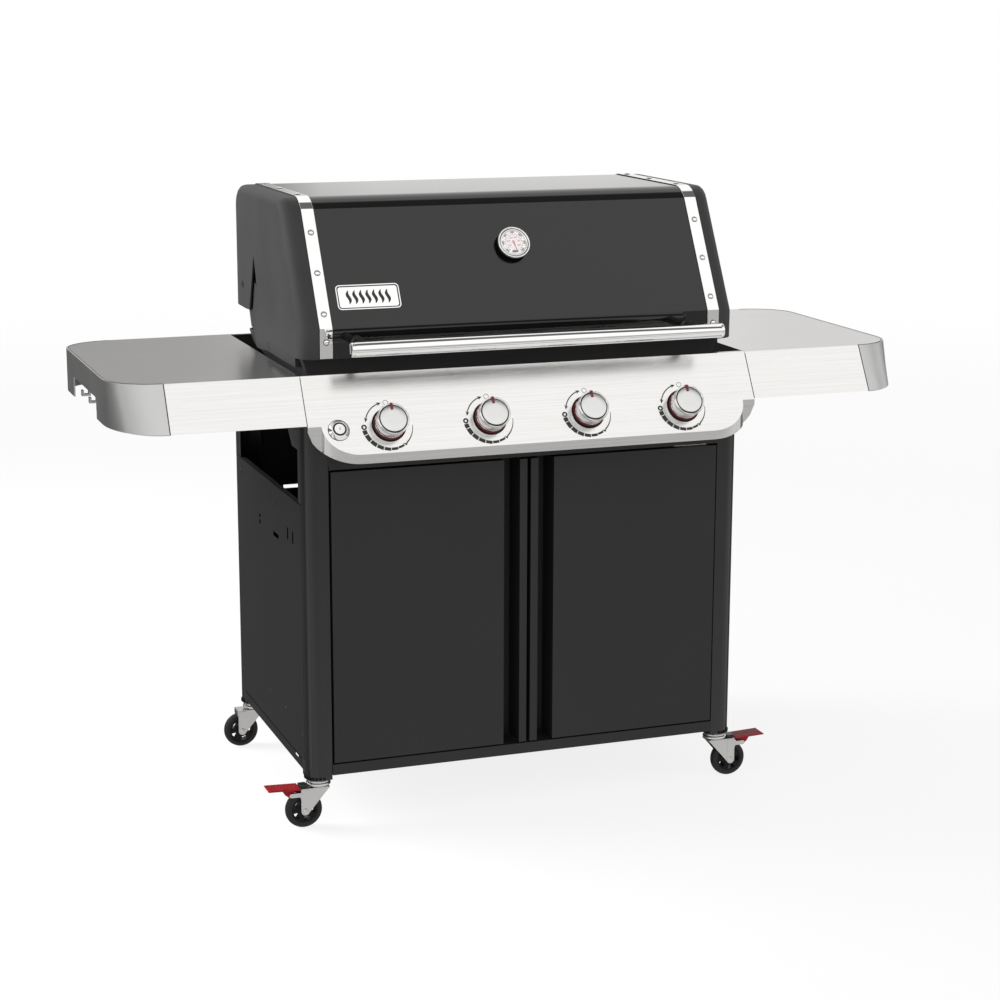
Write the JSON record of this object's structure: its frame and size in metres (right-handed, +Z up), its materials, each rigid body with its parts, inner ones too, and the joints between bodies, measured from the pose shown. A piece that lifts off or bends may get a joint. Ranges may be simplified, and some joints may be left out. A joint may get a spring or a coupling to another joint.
{
  "type": "gas barbecue grill",
  "caption": "Gas barbecue on a closed cabinet with casters: hinged enamel lid, sloping control panel with turning knobs, folded steel side tables, swinging doors and a grease tray.",
  "frame": {"origin": "on the floor under the middle of the grill's outer size", "axes": "+Z up, +X along the length to the grill's right-hand table, -Y towards the cook"},
  "size_m": [1.7, 0.7064, 1.2741],
  "materials": {
    "lid_enamel": "glossy black porcelain enamel",
    "cast_black": "cast aluminium, matte black paint",
    "post_black": "black heat-resistant moulding",
    "powder_coat": "satin black powder coat",
    "brushed_stainless": "brushed stainless sheet",
    "heat_bar_steel": "stainless sheet",
    "polished_steel": "polished steel",
    "knob_chrome": "metal-look plated moulding",
    "cast_silver": "cast aluminium, satin silver paint",
    "porcelain_iron": "black porcelain enamel on cast iron",
    "burner_steel": "stainless tube, heat tinted",
    "aluminium": "bare aluminium",
    "brass": "plain brass",
    "zinc": "zinc-plated pressed steel",
    "tyre_rubber": "black moulded tread and hub",
    "pedal_red": "red moulding",
    "button_white": "white moulding"
  },
  "bodies": {
    "cabinet": {"base_panel": "powder_coat", "burner_1": "burner_steel", "burner_2": "burner_steel", "burner_3": "burner_steel", "burner_4": "burner_steel", "control_panel": "brushed_stainless", "cookbox": "cast_black", "cooking_grate_left": "porcelain_iron", "cooking_grate_right": "porcelain_iron", "front_header": "powder_coat", "front_leg_left": "powder_coat", "front_leg_right": "powder_coat", "gas_manifold": "aluminium", "heat_bar_1": "heat_bar_steel", "heat_bar_2": "heat_bar_steel", "heat_bar_3": "heat_bar_steel", "heat_bar_4": "heat_bar_steel", "lid_hinge_pin_left": "zinc", "lid_hinge_pin_right": "zinc", "rear_leg_left": "powder_coat", "rear_leg_right": "powder_coat", "rear_panel": "powder_coat", "side_panel_left": "powder_coat", "side_panel_right": "powder_coat", "table_frame_left": "cast_silver", "table_frame_right": "cast_silver", "table_top_left": "brushed_stainless", "table_top_right": "brushed_stainless", "warming_rack": "brushed_stainless"},
    "lid": {"lid_shell": "lid_enamel", "lid_handle": "polished_steel", "thermometer": "polished_steel", "lid_end_left": "cast_black", "lid_end_right": "cast_black", "lid_trim_left": "polished_steel", "lid_trim_right": "polished_steel", "handle_post_left": "post_black", "handle_post_right": "post_black"},
    "door_left": {"door_left": "powder_coat"},
    "door_right": {"door_right": "powder_coat"},
    "grease_tray": {"grease_tray": "aluminium"},
    "igniter_button": {"igniter_button": "button_white"},
    "valve_stem_1": {"valve_stem_1": "brass"},
    "control_knob_1": {"control_knob_1": "knob_chrome"},
    "valve_stem_2": {"valve_stem_2": "brass"},
    "control_knob_2": {"control_knob_2": "knob_chrome"},
    "valve_stem_3": {"valve_stem_3": "brass"},
    "control_knob_3": {"control_knob_3": "knob_chrome"},
    "valve_stem_4": {"valve_stem_4": "brass"},
    "control_knob_4": {"control_knob_4": "knob_chrome"},
    "caster_fork_front_left": {"caster_fork_front_left": "zinc"},
    "caster_wheel_front_left": {"caster_wheel_front_left": "tyre_rubber"},
    "caster_fork_front_right": {"caster_fork_front_right": "zinc"},
    "caster_wheel_front_right": {"caster_wheel_front_right": "tyre_rubber"},
    "caster_fork_rear_left": {"caster_fork_rear_left": "zinc"},
    "caster_wheel_rear_left": {"caster_wheel_rear_left": "tyre_rubber"},
    "caster_fork_rear_right": {"caster_fork_rear_right": "zinc"},
    "caster_wheel_rear_right": {"caster_wheel_rear_right": "tyre_rubber"},
    "brake_pedal_left": {"brake_pedal_left": "pedal_red"},
    "brake_pedal_right": {"brake_pedal_right": "pedal_red"}
  },
  "joints": [
    {"name": "lid_hinge", "type": "hinge", "parent": "cabinet", "child": "lid", "pos_m": [0, 0.245, 1.061], "axis": [-1, 0, 0], "range_deg": [0, 68]},
    {"name": "door_right_hinge", "type": "hinge", "parent": "cabinet", "child": "door_right", "pos_m": [0.4195, -0.25, 0.443], "axis": [0, 0, 1], "range_deg": [0, 105]},
    {"name": "door_left_hinge", "type": "hinge", "parent": "cabinet", "child": "door_left", "pos_m": [-0.4195, -0.25, 0.443], "axis": [0, 0, -1], "range_deg": [0, 105]},
    {"name": "grease_tray_slide", "type": "slide", "parent": "cabinet", "child": "grease_tray", "axis": [0, 1, 0], "range_m": [0, 0.28]},
    {"name": "igniter_push", "type": "slide", "parent": "cabinet", "child": "igniter_button", "axis": [0, 0.8607, -0.509], "range_m": [0, 0.003], "stiffness_N_per_m": 600},
    {"name": "valve_push_1", "type": "slide", "parent": "cabinet", "child": "valve_stem_1", "axis": [0, 0.8607, -0.509], "range_m": [0, 0.0035], "stiffness_N_per_m": 900},
    {"name": "knob_turn_1", "type": "hinge", "parent": "valve_stem_1", "child": "control_knob_1", "pos_m": [-0.3158, -0.30881, 0.84511], "axis": [0, -0.8607, 0.509], "range_deg": [0, 240]},
    {"name": "valve_push_2", "type": "slide", "parent": "cabinet", "child": "valve_stem_2", "axis": [0, 0.8607, -0.509], "range_m": [0, 0.0035], "stiffness_N_per_m": 900},
    {"name": "knob_turn_2", "type": "hinge", "parent": "valve_stem_2", "child": "control_knob_2", "pos_m": [-0.1055, -0.30881, 0.84511], "axis": [0, -0.8607, 0.509], "range_deg": [0, 240]},
    {"name": "valve_push_3", "type": "slide", "parent": "cabinet", "child": "valve_stem_3", "axis": [0, 0.8607, -0.509], "range_m": [0, 0.0035], "stiffness_N_per_m": 900},
    {"name": "knob_turn_3", "type": "hinge", "parent": "valve_stem_3", "child": "control_knob_3", "pos_m": [0.1055, -0.30881, 0.84511], "axis": [0, -0.8607, 0.509], "range_deg": [0, 240]},
    {"name": "valve_push_4", "type": "slide", "parent": "cabinet", "child": "valve_stem_4", "axis": [0, 0.8607, -0.509], "range_m": [0, 0.0035], "stiffness_N_per_m": 900},
    {"name": "knob_turn_4", "type": "hinge", "parent": "valve_stem_4", "child": "control_knob_4", "pos_m": [0.3158, -0.30881, 0.84511], "axis": [0, -0.8607, 0.509], "range_deg": [0, 240]},
    {"name": "caster_swivel_front_left", "type": "hinge", "parent": "cabinet", "child": "caster_fork_front_left", "pos_m": [-0.447, -0.221, 0.1], "axis": [0, 0, 1], "continuous": true},
    {"name": "caster_roll_front_left", "type": "hinge", "parent": "caster_fork_front_left", "child": "caster_wheel_front_left", "pos_m": [-0.479, -0.221, 0.0385], "axis": [0, 1, 0], "continuous": true},
    {"name": "caster_swivel_front_right", "type": "hinge", "parent": "cabinet", "child": "caster_fork_front_right", "pos_m": [0.447, -0.221, 0.1], "axis": [0, 0, 1], "continuous": true},
    {"name": "caster_roll_front_right", "type": "hinge", "parent": "caster_fork_front_right", "child": "caster_wheel_front_right", "pos_m": [0.479, -0.221, 0.0385], "axis": [0, 1, 0], "continuous": true},
    {"name": "caster_swivel_rear_left", "type": "hinge", "parent": "cabinet", "child": "caster_fork_rear_left", "pos_m": [-0.447, 0.3229, 0.1], "axis": [0, 0, 1], "continuous": true},
    {"name": "caster_roll_rear_left", "type": "hinge", "parent": "caster_fork_rear_left", "child": "caster_wheel_rear_left", "pos_m": [-0.479, 0.3229, 0.0385], "axis": [0, 1, 0], "continuous": true},
    {"name": "caster_swivel_rear_right", "type": "hinge", "parent": "cabinet", "child": "caster_fork_rear_right", "pos_m": [0.447, 0.3229, 0.1], "axis": [0, 0, 1], "continuous": true},
    {"name": "caster_roll_rear_right", "type": "hinge", "parent": "caster_fork_rear_right", "child": "caster_wheel_rear_right", "pos_m": [0.479, 0.3229, 0.0385], "axis": [0, 1, 0], "continuous": true},
    {"name": "brake_press_left", "type": "hinge", "parent": "caster_fork_front_left", "child": "brake_pedal_left", "pos_m": [-0.508, -0.221, 0.0745], "axis": [0, -1, 0], "range_deg": [0, 12]},
    {"name": "brake_press_right", "type": "hinge", "parent": "caster_fork_front_right", "child": "brake_pedal_right", "pos_m": [0.508, -0.221, 0.0745], "axis": [0, 1, 0], "range_deg": [0, 12]}
  ]
}
